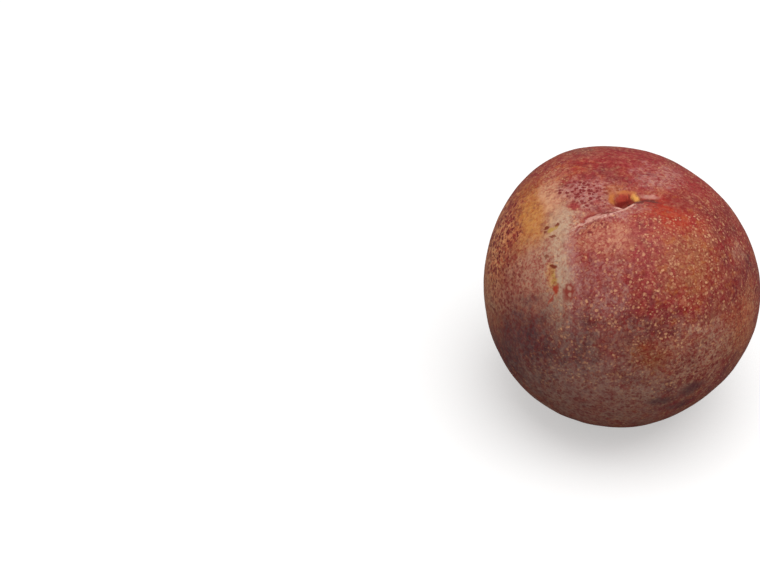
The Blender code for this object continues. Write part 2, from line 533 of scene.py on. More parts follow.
speckles.links.new(sums(speckles, "MULTIPLY", dot, strength), given["Mask"])
print(speckles.name, len(speckles.nodes), "nodes")

# %% [markdown]
# ### A worn film
#
# Bloom is a film of wax. It lies in clouds, thin and thick, and it is rubbed off in small flecks where
# the fruit was touched. Wide clouds decide where it lies, and fine ones break its edges.

# %% Build the worn film group
CLOUDS_SHARE = 0.45
FLECKS_SHARE = 0.55
FILM_EDGE = 0.12
worn_film, taken, given = new_group(
    "worn film",
    {
        "Place": "NodeSocketVector",
        "Clouds per Metre": "NodeSocketFloat",
        "Flecks per Metre": "NodeSocketFloat",
        "Cover": "NodeSocketFloat",
    },
    {"Mask": "NodeSocketFloat"},
)
clouds = node(
    worn_film,
    "ShaderNodeTexNoise",
    {"Vector": taken["Place"], "Scale": taken["Clouds per Metre"], "Detail": 4.0, "Roughness": 0.6},
)
flecks = node(
    worn_film,
    "ShaderNodeTexNoise",
    {"Vector": taken["Place"], "Scale": taken["Flecks per Metre"], "Detail": 3.0, "Roughness": 0.7},
)
fleck_part = sums(worn_film, "MULTIPLY", flecks.outputs["Fac"], FLECKS_SHARE)
both = sums(worn_film, "MULTIPLY_ADD", clouds.outputs["Fac"], CLOUDS_SHARE, fleck_part)
level = sums(worn_film, "SUBTRACT", sums(worn_film, "ADD", both, taken["Cover"]), 1.0)
worn_film.links.new(between(worn_film, level, -FILM_EDGE, FILM_EDGE), given["Mask"])
print(worn_film.name, len(worn_film.nodes), "nodes")

# %% [markdown]
# ## The palette
#
# A painter mixes the colours first. Each is given as a paint chart gives it, from 0 to 255, and
# turned into the linear light that shaders reckon in.

# %% Mix the colours
def tone(red, green, blue):
    """A paint chart's colour as linear light."""
    return tuple(((part / 255 + 0.055) / 1.055) ** 2.4 for part in (red, green, blue)) + (1.0,)


DEEP_CRIMSON = tone(118, 26, 30)
CRIMSON = tone(148, 32, 38)
BRICK = tone(154, 56, 42)
RUSSET = tone(166, 82, 50)
ORANGE_RED = tone(164, 34, 4)
GOLD = tone(208, 140, 68)
OLIVE_GOLD = tone(180, 106, 44)
OLIVE = tone(156, 92, 56)
PEACH = tone(214, 160, 124)
SALMON = tone(214, 138, 90)
BEIGE = tone(198, 152, 126)
ROSE = tone(186, 118, 92)
# for a pale rim of painted light
RIM_LIGHT_CREAM = tone(248, 176, 118)
PLUM_BROWN = tone(82, 50, 58)
BROWN_RED = tone(188, 130, 106)
PORE_CREAM = tone(222, 166, 122)
BLOOM_PINK = tone(188, 144, 120)
BLOOM_LILAC = tone(178, 128, 122)
BLOOM_TAN = tone(200, 178, 150)
BLOOM_GREY = tone(174, 142, 126)
FRECKLE = tone(120, 34, 34)
# for painted highlights on the lip's crests
LIP_HIGHLIGHT_PINK = tone(226, 176, 160)
# for painted shade in the creases
CREASE_SHADE = tone(96, 32, 26)
PIT_YELLOW = tone(190, 112, 50)
PIT_BRIGHT = tone(250, 184, 96)
PIT_RED = tone(190, 72, 56)
# for the painted shadow in the pit
PIT_SHADOW_CRIMSON = tone(130, 34, 32)
SCAR_GREEN = tone(182, 142, 72)
SCAR_RED = tone(166, 48, 28)
RING_BROWN = tone(140, 52, 42)
CORK = tone(120, 44, 22)
DUSK = tone(90, 56, 56)
DEEPENING = (0.74, 0.34, 0.36, 1.0)  # what a dark fleck leaves of the red, green and blue below it
print("crimson in linear light", [round(part, 3) for part in CRIMSON])

# %% [markdown]
# ## The ground colour
#
# Under everything lies a mottle of reds and russets, in clouds of three millimetres. A Color Ramp
# turns the noise into four colours that blend into each other. Broad clouds of olive and plum brown
# lie over it. Two helpers come first: one roughens the edges of what is painted through it, and the
# other lays one paint over another, as a brush does.

# %% Start the skin's material
MIDDLE_OF_NOISE = (0.5, 0.5, 0.5)
skin_paint = bpy.data.materials.new("plum skin")
skin_paint.use_nodes = True
tree = skin_paint.node_tree
shader = tree.nodes["Principled BSDF"]
place = node(tree, "ShaderNodeTexCoord").outputs["Object"]


def shaken(pitch, reach):
    """Places moved about at random, so that what is painted through them has a ragged edge."""
    shift = node(
        tree,
        "ShaderNodeVectorMath",
        {0: noise(tree, place, pitch).outputs["Color"], 1: MIDDLE_OF_NOISE},
        operation="SUBTRACT",
    )
    moved = {0: shift.outputs[0], 1: (reach, reach, reach), 2: place}
    return node(tree, "ShaderNodeVectorMath", moved, operation="MULTIPLY_ADD").outputs[0]


def wash(below, paint, mask, strength=1.0):
    """Lays a paint over the colours below it, as thickly as the mask says."""
    amount = sums(tree, "MULTIPLY", mask, strength)
    laid = node(tree, "ShaderNodeMix", {0: amount, 6: below, 7: paint}, data_type="RGBA")
    return laid.outputs[2]


def overlap(mask, *others):
    """The mask of what lies inside all of these masks."""
    for other in others:
        mask = sums(tree, "MULTIPLY", mask, other)
    return mask


print("material", skin_paint.name)

# %% Mottle the ground
MOTTLE_PITCH = 3.2 * MM
MOTTLE_STEPS = ((0.36, DEEP_CRIMSON), (0.46, CRIMSON), (0.55, BRICK), (0.66, RUSSET))
BROAD_PITCH = 15.0 * MM
BROAD_CLOUD = (0.50, 0.60)
BROAD_STRENGTH = 0.4

mottle = noise(tree, place, MOTTLE_PITCH, detail=6.0, roughness=0.62).outputs["Fac"]
ramp = node(tree, "ShaderNodeValToRGB", {"Fac": mottle})
while len(ramp.color_ramp.elements) < len(MOTTLE_STEPS):
    ramp.color_ramp.elements.new(0.5)
for stop, (where, paint) in zip(ramp.color_ramp.elements, MOTTLE_STEPS):
    stop.position = where
    stop.color = paint
broad = noise(tree, place, BROAD_PITCH, detail=3.0, roughness=0.6).outputs["Color"]
broad = node(tree, "ShaderNodeSeparateColor", {0: broad}).outputs
colour = ramp.outputs["Color"]
for paint, cloud in ((OLIVE, broad["Red"]), (PLUM_BROWN, broad["Green"])):
    colour = wash(colour, paint, between(tree, cloud, *BROAD_CLOUD), BROAD_STRENGTH)
print("mottle of", len(MOTTLE_STEPS), "colours")

# %% [markdown]
# ## Stipple
#
# Seen close, no millimetre of the skin has one colour. Two fine noises make a light and a dark
# stipple, and a coarser one makes clouds of red and of ochre. They break up every colour that is laid,
# so they are made here and laid once the washes and the bloom are on.

# %% Make the stipple
# Each pair gives the noise at which a fleck begins, and at which it is full.
LIGHT_FLECKS = (0.50, 0.62)
DARK_FLECKS = (0.54, 0.40)
RED_CLOUDS = (0.50, 0.62)
OCHRE_CLOUDS = (0.52, 0.64)
EDGE_FLECKS = (0.50, 0.56)

fine = noise(tree, place, pitch=1.0 * MM, detail=3.0, roughness=0.65).outputs["Fac"]
uneven = shaken(pitch=2.0 * MM, reach=2.0 * MM)
finer = noise(tree, uneven, pitch=0.62 * MM, detail=2.0, roughness=0.6).outputs["Fac"]
medium = noise(tree, place, pitch=1.7 * MM, detail=4.0, roughness=0.6).outputs["Color"]
tints = node(tree, "ShaderNodeSeparateColor", {0: medium}).outputs
light_stipple = between(tree, fine, *LIGHT_FLECKS)
dark_stipple = between(tree, finer, *DARK_FLECKS)
red_mottle = between(tree, tints["Red"], *RED_CLOUDS)
ochre_mottle = between(tree, tints["Green"], *OCHRE_CLOUDS)
edge_mottle = between(tree, tints["Blue"], *EDGE_FLECKS)
print("stipple made of", len((fine, finer, medium)), "noises")

# %% [markdown]
# ## Washes
#
# Over the mottle go broad washes: gold where a leaf shaded the fruit, crimson where the sun struck it,
# olive where it is least ripe, and a deep plum brown low on the left, which is partly the skin's own
# colour and partly painted shade. A pale rim along the left edge is painted light. Each wash is a soft
# patch. Its place is the pixel of the picture where it is seen, and the camera's ray through that pixel
# finds the point on the fruit. Its width and height are in pixels too, across the camera's view, so an
# egg that is drawn on the picture lands on the skin. Every egg is deep enough to hold the skin's curve.
# A patch's edge is made ragged by shaking its places, and frayed by adding noise to its depth.

# %% Make the brush
# A patch has the pixel of its middle, its half width and half height in pixels, its turn in degrees,
# and the softness of its edge as a share of its reach.
Patch = namedtuple("Patch", "x y wide tall turn softness", defaults=(0, 0.5))
PATCH_DEPTH = 1.6  # as a share of the patch's longer side
FRAY_PITCH = 3.5 * MM
FRAY_REACH = 3.2
SMALL_MARKS_FRAY = 0.4  # as a share of a wash's fray

ragged = shaken(pitch=6.0 * MM, reach=5.0 * MM)
finely_ragged = shaken(pitch=1.3 * MM, reach=1.2 * MM)
fray_noise = noise(tree, place, FRAY_PITCH, detail=8.0, roughness=0.72).outputs["Fac"]
frayed = sums(tree, "MULTIPLY_ADD", fray_noise, FRAY_REACH, -FRAY_REACH / 2)
barely_frayed = sums(tree, "MULTIPLY", frayed, SMALL_MARKS_FRAY)


def patch(spot, through, fray):
    """The mask of one soft patch, where the camera sees it."""
    half_sizes = (spot.wide, spot.tall, max(spot.wide, spot.tall) * PATCH_DEPTH)
    turn = camera_turn @ Matrix.Rotation(math.radians(spot.turn), 3, "Z")
    return place_group(tree, soft_patch, {
        "Place": through,
        "Centre": seen_at(spot.x, spot.y),
        "Turn": turn.to_euler(),
        "Reach": [half * metres_per_pixel * GRADIENT_REACH for half in half_sizes],
        "Softness": spot.softness,
        "Fray": fray,
    })


def lay(below, marks, through, fray):
    """Lays a list of marks, each a paint, a strength and a patch, over the colours below them."""
    for paint, strength, spot in marks.values():
        below = wash(below, paint, patch(spot, through, fray), strength)
    print("laid", len(marks), "marks")
    return below


print("edges fray every", round(FRAY_PITCH / MM, 1), "mm")

# %% Lay the washes
WASHES = {
    "crimson crown": (CRIMSON, 0.9, Patch(622, 159, 50, 13)),
    "russet crown": (ORANGE_RED, 0.5, Patch(574, 168, 20, 8, 14)),
    "brightest crimson": (CRIMSON, 0.8, Patch(645, 158, 26, 10, -10)),
    "crimson shoulder": (CRIMSON, 0.9, Patch(700, 186, 38, 19, -38)),
    "olive gold back of the cheek": (OLIVE_GOLD, 0.95, Patch(533, 194, 16, 20, 35, 0.7)),
    "gold cheek": (GOLD, 0.95, Patch(529, 224, 20, 30, 0, 0.8)),
    "peach beside the gold": (PEACH, 0.85, Patch(554, 196, 13, 26, 0, 0.7)),
    "salmon edge": (SALMON, 0.9, Patch(500, 245, 15, 46, -10)),
    # painted rim light: a pale rim of light along the left edge
    "painted rim light on the left edge": (RIM_LIGHT_CREAM, 0.75, Patch(496, 236, 9, 36, -14)),
    "beige below the gold": (BEIGE, 0.85, Patch(532, 276, 22, 28, -10, 0.8)),
    "orange flame": (ORANGE_RED, 1.0, Patch(674, 216, 30, 22, -10, 0.7)),
    "rose shoulder": (ROSE, 0.85, Patch(608, 236, 28, 14, 8)),
    "crimson behind the flame": (DEEP_CRIMSON, 0.7, Patch(692, 205, 22, 13, -25)),
    "crimson far right": (DEEP_CRIMSON, 0.7, Patch(722, 226, 14, 34, -22)),
    "olive belly": (OLIVE, 0.9, Patch(688, 262, 26, 28, 0, 0.8)),
    "red streak": (CRIMSON, 0.85, Patch(641, 268, 9, 38, 4)),
    "red below the streak": (DEEP_CRIMSON, 0.6, Patch(618, 338, 8, 30)),
    "red right cheek": (BRICK, 0.4, Patch(720, 283, 14, 30, -6)),
    "red under the belly": (CRIMSON, 0.5, Patch(668, 310, 40, 12)),
    "brown red left": (BROWN_RED, 0.85, Patch(515, 300, 36, 22)),
    "dusk in the middle": (DUSK, 0.9, Patch(592, 342, 62, 46, 0, 0.9)),
    # partly the skin's own plum brown and partly painted shade, darker low on the left
    "plum brown and painted shade below": (PLUM_BROWN, 1.0, Patch(528, 356, 50, 36, -20, 0.7)),
    "red low in the middle": (CRIMSON, 0.35, Patch(612, 352, 12, 40)),
    "golden brown": (OLIVE, 0.75, Patch(648, 358, 20, 15)),
    "russet right edge": (SALMON, 0.65, Patch(744, 322, 15, 32)),
}
colour = lay(colour, WASHES, ragged, frayed)

# %% [markdown]
# The far left edge is seen so nearly sideways that no ray meets it well. Its pale rim is painted light,
# a rim of light laid by place instead: it grows with the distance to the left, above the lower part of
# the fruit.

# %% Paint rim light on the far left edge
EDGE_TO_THE_LEFT = (-26.0 * MM, -30.5 * MM)
EDGE_UPWARDS = (20.0 * MM, 30.0 * MM)

axes = node(tree, "ShaderNodeSeparateXYZ", {0: place}).outputs
painted_rim_light = overlap(
    between(tree, axes["X"], *EDGE_TO_THE_LEFT),
    between(tree, axes["Z"], *EDGE_UPWARDS),
)
# painted rim light along the far left edge
colour = wash(colour, RIM_LIGHT_CREAM, painted_rim_light, strength=0.45)
print("the rim starts", -EDGE_TO_THE_LEFT[0] / MM, "mm left of the middle")

# %% [markdown]
# ## Pores
#
# A plum breathes through thousands of pores, each a dot of cream half a millimetre wide. They crowd on
# the red cheek and thin out towards the stem and the foot. Two strewings, one of larger and one of
# smaller dots, look less regular than one. The skin is reddest just round a large pore, so a halo of
# deep crimson is laid round each. The pores themselves are laid later, over the stipple.

# %% Helpers that strew dots and spare patches
def strew(through, pitch, size, share, softness):
    """Dots about this far apart; the size and softness are shares of a cell and of a dot."""
    return place_group(tree, speckles, {
        "Place": through,
        "Cells per Metre": 1 / pitch,
        "Size": size,
        "Share": share,
        "Softness": softness,
    })


def spare(mask, spots, taken_away):
    """Takes this share of a mask away wherever one of the patches lies."""
    for spot in spots:
        here = patch(spot, ragged, frayed)
        mask = overlap(mask, sums(tree, "MULTIPLY_ADD", here, -taken_away, 1.0))
    return mask


# %% Strew the pores
BARE_OF_PORES = {
    "crown": Patch(610, 158, 60, 12, 0, 0.4),
    "shoulder": Patch(698, 190, 20, 9, -38, 0.4),
    "around the stem": Patch(612, 184, 62, 30, 0, 0.3),
    "flame": Patch(672, 207, 20, 11, -10, 0.4),
    "gold cheek": Patch(526, 222, 30, 50, 0, 0.4),
    "foot": Patch(560, 402, 84, 20, 0, 0.5),
    "lower left": Patch(512, 316, 44, 60, -15, 0.4),
}
LARGE_PORE_PITCH = 1.0 * MM
SMALL_PORE_PITCH = 0.75 * MM
SMALL_PORES_STRENGTH = 0.6
CLEARED = 0.85  # the share of the pores that a bare patch takes away
CROWD_PITCH = 7.0 * MM
CROWDED = (0.3, 0.6)
CROWD_SHARE = 0.4

large_pores = strew(finely_ragged, LARGE_PORE_PITCH, size=0.33, share=0.88, softness=0.5)
small_pores = strew(place, SMALL_PORE_PITCH, size=0.32, share=0.8, softness=0.4)
small_pores = sums(tree, "MULTIPLY", small_pores, SMALL_PORES_STRENGTH)
pores = spare(sums(tree, "MAXIMUM", large_pores, small_pores), BARE_OF_PORES.values(), CLEARED)
crowd = between(tree, noise(tree, place, CROWD_PITCH).outputs["Fac"], *CROWDED)
pores = overlap(pores, sums(tree, "MULTIPLY_ADD", crowd, CROWD_SHARE, 1 - CROWD_SHARE))
halos = strew(finely_ragged, LARGE_PORE_PITCH, size=0.60, share=0.85, softness=0.6)
colour = wash(colour, DEEP_CRIMSON, overlap(halos, crowd), strength=0.75)
print("pores every", LARGE_PORE_PITCH / MM, "and", SMALL_PORE_PITCH / MM, "mm")

# %% [markdown]
# ## Bloom
#
# Bloom is the dry film of wax that makes a plum look dusty. It is thick where nothing touched the
# fruit: in a band along the left of the suture, around the stem, and underneath. It is pinkish where
# the skin below is red and grey where it is brown. It is a worn film laid through soft patches. Where
# it lies is kept as the dust, because it also dulls the skin and hides the pores.

# %% Dust the bloom on
BLOOMS = {
    "speckled left of the stem": (BLOOM_LILAC, 0.9, Patch(592, 193, 24, 17)),
    "right of the stem": (BLOOM_LILAC, 0.75, Patch(655, 178, 25, 15, 25)),
    "under the lip": (BLOOM_LILAC, 0.8, Patch(628, 212, 20, 6, 16)),
    "foot": (BLOOM_GREY, 0.8, Patch(592, 400, 80, 34)),
    "lower right": (BLOOM_PINK, 0.95, Patch(698, 356, 34, 32, 30)),
    "lilac low left": (BLOOM_LILAC, 0.2, Patch(545, 356, 60, 40, -20)),
    # painted rim light along the left edge, laid through the worn film like the bloom
    "rim light painted in tan on the left": (BLOOM_TAN, 0.4, Patch(485, 270, 4, 56)),
    "right edge": (BLOOM_PINK, 0.6, Patch(738, 252, 8, 14)),
    "middle": (BLOOM_LILAC, 0.6, Patch(604, 286, 22, 34)),
    "below the middle": (BLOOM_GREY, 0.3, Patch(600, 345, 40, 26)),
    "back of the crown": (BLOOM_PINK, 0.2, Patch(585, 154, 30, 6, 8)),
}
FILM_SHARE = 0.6  # how much of a bloomy patch comes and goes with the film
film = place_group(tree, worn_film, {
    "Place": place,
    "Clouds per Metre": 1 / (9.0 * MM),
    "Flecks per Metre": 1 / (1.1 * MM),
    "Cover": 0.52,
})
film_in_patches = sums(tree, "MULTIPLY_ADD", film, FILM_SHARE, 1 - FILM_SHARE)
dust = 0.0
for paint, strength, spot in BLOOMS.values():
    worn = overlap(patch(spot, ragged, frayed), film_in_patches)
    colour = wash(colour, paint, worn, strength)
    dust = sums(tree, "MAXIMUM", dust, worn)
print(len(BLOOMS), "patches of bloom")

# %% [markdown]
# Two bands of bloom follow the suture, a tan one on its left and a lilac one on its right. Patches
# can't follow its curve, so the bands read the measures that we stored: millimetres to the right of
# the suture, and millimetres along it from the pit. Each pair of numbers below says where an edge of a
# band begins and where it is full, and noise makes the edges wander.

# %% Dust the suture's two sides
BAND_BEGINS = (9.0, 16.0)
BAND_ENDS = (46.0, 28.0)
TAN_LEFT = (-9.0, -2.0)
TAN_RIGHT = (1.6, -0.4)
LILAC_LEFT = (-1.2, 0.9)
LILAC_RIGHT = (4.4, 1.4)
LILAC_BEGINS = (12.0, 22.0)
BAND_WANDERS = 3.0


def measure(name):
    """One of the measures that are stored on the skin's points."""
    return node(tree, "ShaderNodeAttribute", attribute_name=name).outputs["Fac"]


right_of_suture = measure("right of suture")
along_suture = measure("along suture")
wander = noise(tree, place, pitch=2.0 * MM).outputs["Fac"]
sideways = sums(tree, "MULTIPLY_ADD", wander, BAND_WANDERS, right_of_suture)
down_the_front = overlap(
    between(tree, along_suture, *BAND_BEGINS),
    between(tree, along_suture, *BAND_ENDS),
)
tan_band = overlap(
    between(tree, sideways, *TAN_LEFT),
    between(tree, sideways, *TAN_RIGHT),
    down_the_front,
)
lilac_band = overlap(
    between(tree, sideways, *LILAC_LEFT),
    between(tree, sideways, *LILAC_RIGHT),
    down_the_front,
    between(tree, along_suture, *LILAC_BEGINS),
)
colour = wash(colour, BLOOM_TAN, tan_band, strength=0.72)
colour = wash(colour, BLOOM_LILAC, lilac_band, strength=0.6)
dust = sums(tree, "MAXIMUM", dust, tan_band)
print("the bands end", BAND_ENDS[0], "mm along the suture")

# %% [markdown]
# Nothing touched the back of the fruit either, so the film lies thick there. A trace of it lies
# everywhere.

# %% Dust the back
BACK = (14.0 * MM, 26.0 * MM)

behind = overlap(between(tree, axes["Y"], *BACK), film)
colour = wash(colour, BLOOM_LILAC, behind, strength=0.45)
dust = sums(tree, "MAXIMUM", dust, behind)
colour = wash(colour, BLOOM_PINK, film, strength=0.12)
print("full bloom", BACK[1] / MM, "mm behind the middle")

# %% [markdown]
# ## Stains
#
# A twig rubbed this fruit left of the suture, and it healed as a greenish streak with gold beside it.
# A crimson stain lies above. Both are in the skin, so they go under the stipple.

# %% Stain the skin
STAINS = {
    "crimson stain": (CRIMSON, 0.85, Patch(573, 206, 6.0, 4.0, 0, 0.5)),
    "gold beside the streak": (GOLD, 0.6, Patch(551, 276, 4, 13, 8)),
    "green streak": (SCAR_GREEN, 0.85, Patch(554, 281, 2.6, 12, 8, 0.7)),
}
colour = lay(colour, STAINS, finely_ragged, frayed)

# %% [markdown]
# ## Lay the stipple
#
# The light stipple and the red clouds go over everything that is painted so far. They are held back
# where the skin is calm: on the gold cheek, on the flame and underneath.

# %% Lay the light stipple and the red clouds
CALM = (
    Patch(532, 222, 22, 34, 0, 0.4),
    Patch(558, 205, 16, 30, 0, 0.4),
    Patch(561, 262, 12, 44, 0, 0.3),
    Patch(672, 212, 22, 16, 0, 0.4),
    Patch(610, 398, 90, 30, 0, 0.5),
    Patch(540, 345, 60, 50, -20, 0.6),
)
CALMED = 0.45  # the share of the stipple that a calm patch takes away

lively = spare(1.0, CALM, CALMED)
colour = wash(colour, PORE_CREAM, overlap(light_stipple, lively), strength=0.2)
colour = wash(colour, CRIMSON, overlap(red_mottle, lively), strength=0.45)
print(len(CALM), "calm patches")

# %% [markdown]
# The ochre clouds are rust on the belly and on the crown, and fainter everywhere else. Small crimson
# flecks break up the pale edge on the left.

# %% Lay the rust and the edge's flecks
RUSTY = (Patch(690, 268, 46, 66), Patch(650, 360, 26, 20), Patch(560, 172, 20, 12))
RUST_EVERYWHERE = 0.2
FLECKED_EDGE = Patch(501, 236, 14, 40, -12)

rusty = RUST_EVERYWHERE
for spot in RUSTY:
    rusty = sums(tree, "MAXIMUM", rusty, patch(spot, ragged, frayed))
colour = wash(colour, OLIVE_GOLD, overlap(ochre_mottle, rusty), strength=0.4)
edge_flecks = overlap(edge_mottle, patch(FLECKED_EDGE, ragged, frayed))
colour = wash(colour, CRIMSON, edge_flecks, strength=0.8)
print(len(RUSTY), "rusty patches")

# %% [markdown]
# A dark fleck isn't one colour everywhere. It is a deeper and redder shade of what lies there, so the
# dark stipple multiplies the colour below it. The cream pores go on last, over all the stipple.

# %% Lay the dark stipple and the pores
def deepen(below, mask, strength):
    """Lets a deeper shade of the colours below through, as thickly as the mask says."""
    deeper = node(
        tree,
        "ShaderNodeMix",
        {0: 1.0, 6: below, 7: DEEPENING},
        data_type="RGBA",
        blend_type="MULTIPLY",
    )
    return wash(below, deeper.outputs[2], mask, strength)


colour = deepen(colour, overlap(dark_stipple, lively), strength=0.85)
colour = wash(colour, PORE_CREAM, pores, strength=0.8)
print("dark flecks keep", DEEPENING[0], "of the red below them")

# %% [markdown]
# Hands and leaves have brushed the bloom, and left fine dark streaks: from side to side round the
# crown, and up and down on the front. A Mapping node stretches the noise along them.

# %% Brush the skin
BRUSH_PITCH = 1.1 * MM
BRUSHED = (0.5, 0.36)
UP_AND_DOWN = (1.0, 0.15, 0.15)
SIDE_TO_SIDE = (0.15, 1.0, 1.0)


def brush(below, stretch, spot, strength):
    """Deepens fine streaks that run the way in which the noise is stretched."""
    pulled = node(tree, "ShaderNodeMapping", {"Vector": place, "Scale": stretch}).outputs[0]
    streaks = noise(tree, pulled, BRUSH_PITCH, detail=3.0, roughness=0.6).outputs["Fac"]
    mask = overlap(between(tree, streaks, *BRUSHED), patch(spot, ragged, frayed))
    return deepen(below, mask, strength)


colour = brush(colour, UP_AND_DOWN, Patch(590, 310, 80, 70, 0, 0.8), strength=0.55)
colour = brush(colour, SIDE_TO_SIDE, Patch(615, 162, 60, 18, 0, 0.8), strength=0.6)
print("streaks every", round(BRUSH_PITCH / MM, 1), "mm")

# %% [markdown]
# ## Freckles
#
# Where the bloom is thick the pores look dark instead, because the wax doesn't stick to them: the red
# skin shows through in freckles. They are the same kind of dot as the pores, so the same node group
# strews them, with other values.

# %% Let the freckles through
FRECKLE_PITCH = 0.92 * MM
LARGE_FRECKLE_PITCH = 1.5 * MM
FRECKLED_BY_DUST = 0.3
FRECKLE_STRENGTH = 1.5  # more than 1, so that only a faint freckle stays thin
FRECKLED = {
    "left of the stem": (1.3, Patch(592, 193, 25, 17)),
    "along the lip": (0.8, Patch(590, 226, 22, 6, 20)),
    "salmon edge": (1.0, Patch(502, 234, 16, 42, -12)),
    "below the salmon edge": (0.6, Patch(504, 292, 22, 40)),
    "lower left": (0.4, Patch(545, 350, 46, 44)),
    "foot": (0.45, Patch(590, 398, 80, 30)),
    "lower right": (0.65, Patch(695, 366, 30, 24)),
    "right edge": (0.5, Patch(738, 280, 12, 60)),
}

small_freckles = strew(finely_ragged, FRECKLE_PITCH, size=0.5, share=0.97, softness=0.5)
large_freckles = strew(finely_ragged, LARGE_FRECKLE_PITCH, size=0.30, share=0.9, softness=0.4)
freckles = sums(tree, "MAXIMUM", small_freckles, large_freckles)
freckled = sums(tree, "MULTIPLY", dust, FRECKLED_BY_DUST)
for strength, spot in FRECKLED.values():
    here = sums(tree, "MULTIPLY", patch(spot, ragged, frayed), strength)
    freckled = sums(tree, "MAXIMUM", freckled, here)
colour = wash(colour, FRECKLE, overlap(freckles, freckled), FRECKLE_STRENGTH)
print(len(FRECKLED), "freckled patches")

# %% [markdown]
# ## The pit, the lip and the creases
#
# The pit's walls never saw the sun and stayed yellow. Along the near wall a crimson painted shadow lies
# under the lip, and a pale painted highlight lies on the crest above the short crease. The pit is
# small, so its patches barely fray, or they would run into each other.

# %% Paint the pit
PIT = {
    "tint behind": (OLIVE_GOLD, 0.35, Patch(613, 192, 7, 8, 0, 0.8)),
    "left wall": (PIT_YELLOW, 0.8, Patch(612, 199, 3.5, 6, 0, 0.6)),
    "far wall": (PIT_YELLOW, 0.7, Patch(627, 193.5, 9, 2.6)),
    "inside": (PIT_RED, 0.95, Patch(625, 200, 9, 5.5, 10)),
    # a painted shadow under the pit's near lip
    "painted shadow under the near lip": (PIT_SHADOW_CRIMSON, 0.85, Patch(621, 204.5, 11, 2.6, 18)),
    "right wall": (PIT_BRIGHT, 0.95, Patch(636, 198.5, 4.5, 3.0, -30, 0.6)),
    # a painted highlight on the crest above the short crease
    "highlight above the short crease": (LIP_HIGHLIGHT_PINK, 0.4, Patch(649, 197, 9, 2.0, -6)),
}
colour = lay(colour, PIT, finely_ragged, barely_frayed)

# %% [markdown]
# Where the lip bends sharply out, its crest gets a pale painted highlight, and where the skin bends
# sharply in, it gets dark painted shade. Both are read from the bend that we measured, so they follow
# the form exactly. The painted highlight keeps to the lip by the same two measures as the bands of
# bloom, and the fine noise breaks it up.

# %% Paint the crest's highlight and the creases' shade by their bend
CREST_BEND = (0.06, 0.22)
CREASE_BEND = (-0.10, -0.45)
LIP_LEFT = (-0.9, -0.3)
LIP_RIGHT = (4.0, 2.0)
LIP_ENDS = (15.0, 9.0)
CREST_HIGHLIGHT_BREAKUP = (0.36, 0.52)

bend = measure("bend")
crest = overlap(
    between(tree, bend, *CREST_BEND),
    between(tree, right_of_suture, *LIP_LEFT),
    between(tree, right_of_suture, *LIP_RIGHT),
    between(tree, along_suture, *LIP_ENDS),
    between(tree, fine, *CREST_HIGHLIGHT_BREAKUP),
)
# a painted highlight on the lip's crest
colour = wash(colour, LIP_HIGHLIGHT_PINK, crest, strength=0.8)
# painted shade in the creases, where the skin bends in
colour = wash(colour, CREASE_SHADE, between(tree, bend, *CREASE_BEND), strength=0.6)
print("a crest is full from a bend of", CREST_BEND[1], "per mm")

# %% [markdown]
# A few streaks run out along the lip's left end: pale painted highlights on its crests, and dark
# painted shade beside them. The short crease on the pit's right gets more painted shade than its bend
# alone would give it.

# %% Paint the lip's highlights and shade, and the short crease's shade
LIP_HIGHLIGHTS_AND_SHADE = {
    # pale streaks: painted highlights on the lip's crests
    "pale streak": (LIP_HIGHLIGHT_PINK, 0.6, Patch(586, 222, 13, 1.1, 30, 0.6)),
    "second pale streak": (LIP_HIGHLIGHT_PINK, 0.45, Patch(583, 228, 9, 0.9, 34, 0.6)),
    # dark streaks: painted shade beside the crests
    "dark streak": (DEEP_CRIMSON, 0.6, Patch(590, 224, 14, 1.0, 28, 0.6)),
    "second dark streak": (DEEP_CRIMSON, 0.5, Patch(597, 214, 13, 0.9, 22, 0.6)),
}
# painted shade in the short crease
SHORT_CREASE_SHADE = {
    "left half": (CREASE_SHADE, 0.85, Patch(639, 202, 7, 1.5, 14, 0.3)),
    "right half": (CREASE_SHADE, 0.85, Patch(651, 201.6, 8, 1.1, -12, 0.3)),
}
colour = lay(colour, LIP_HIGHLIGHTS_AND_SHADE, finely_ragged, barely_frayed)
colour = lay(colour, SHORT_CREASE_SHADE, finely_ragged, barely_frayed)

# %% [markdown]
# ## Small scars
#
# Below the greenish streak hangs a red drop, and beside it a small brown ring. A few nicks healed as
# cork above it, and dark scuffs lie low on the right. A cork scar in the middle of the foot is where
# the blossom was.

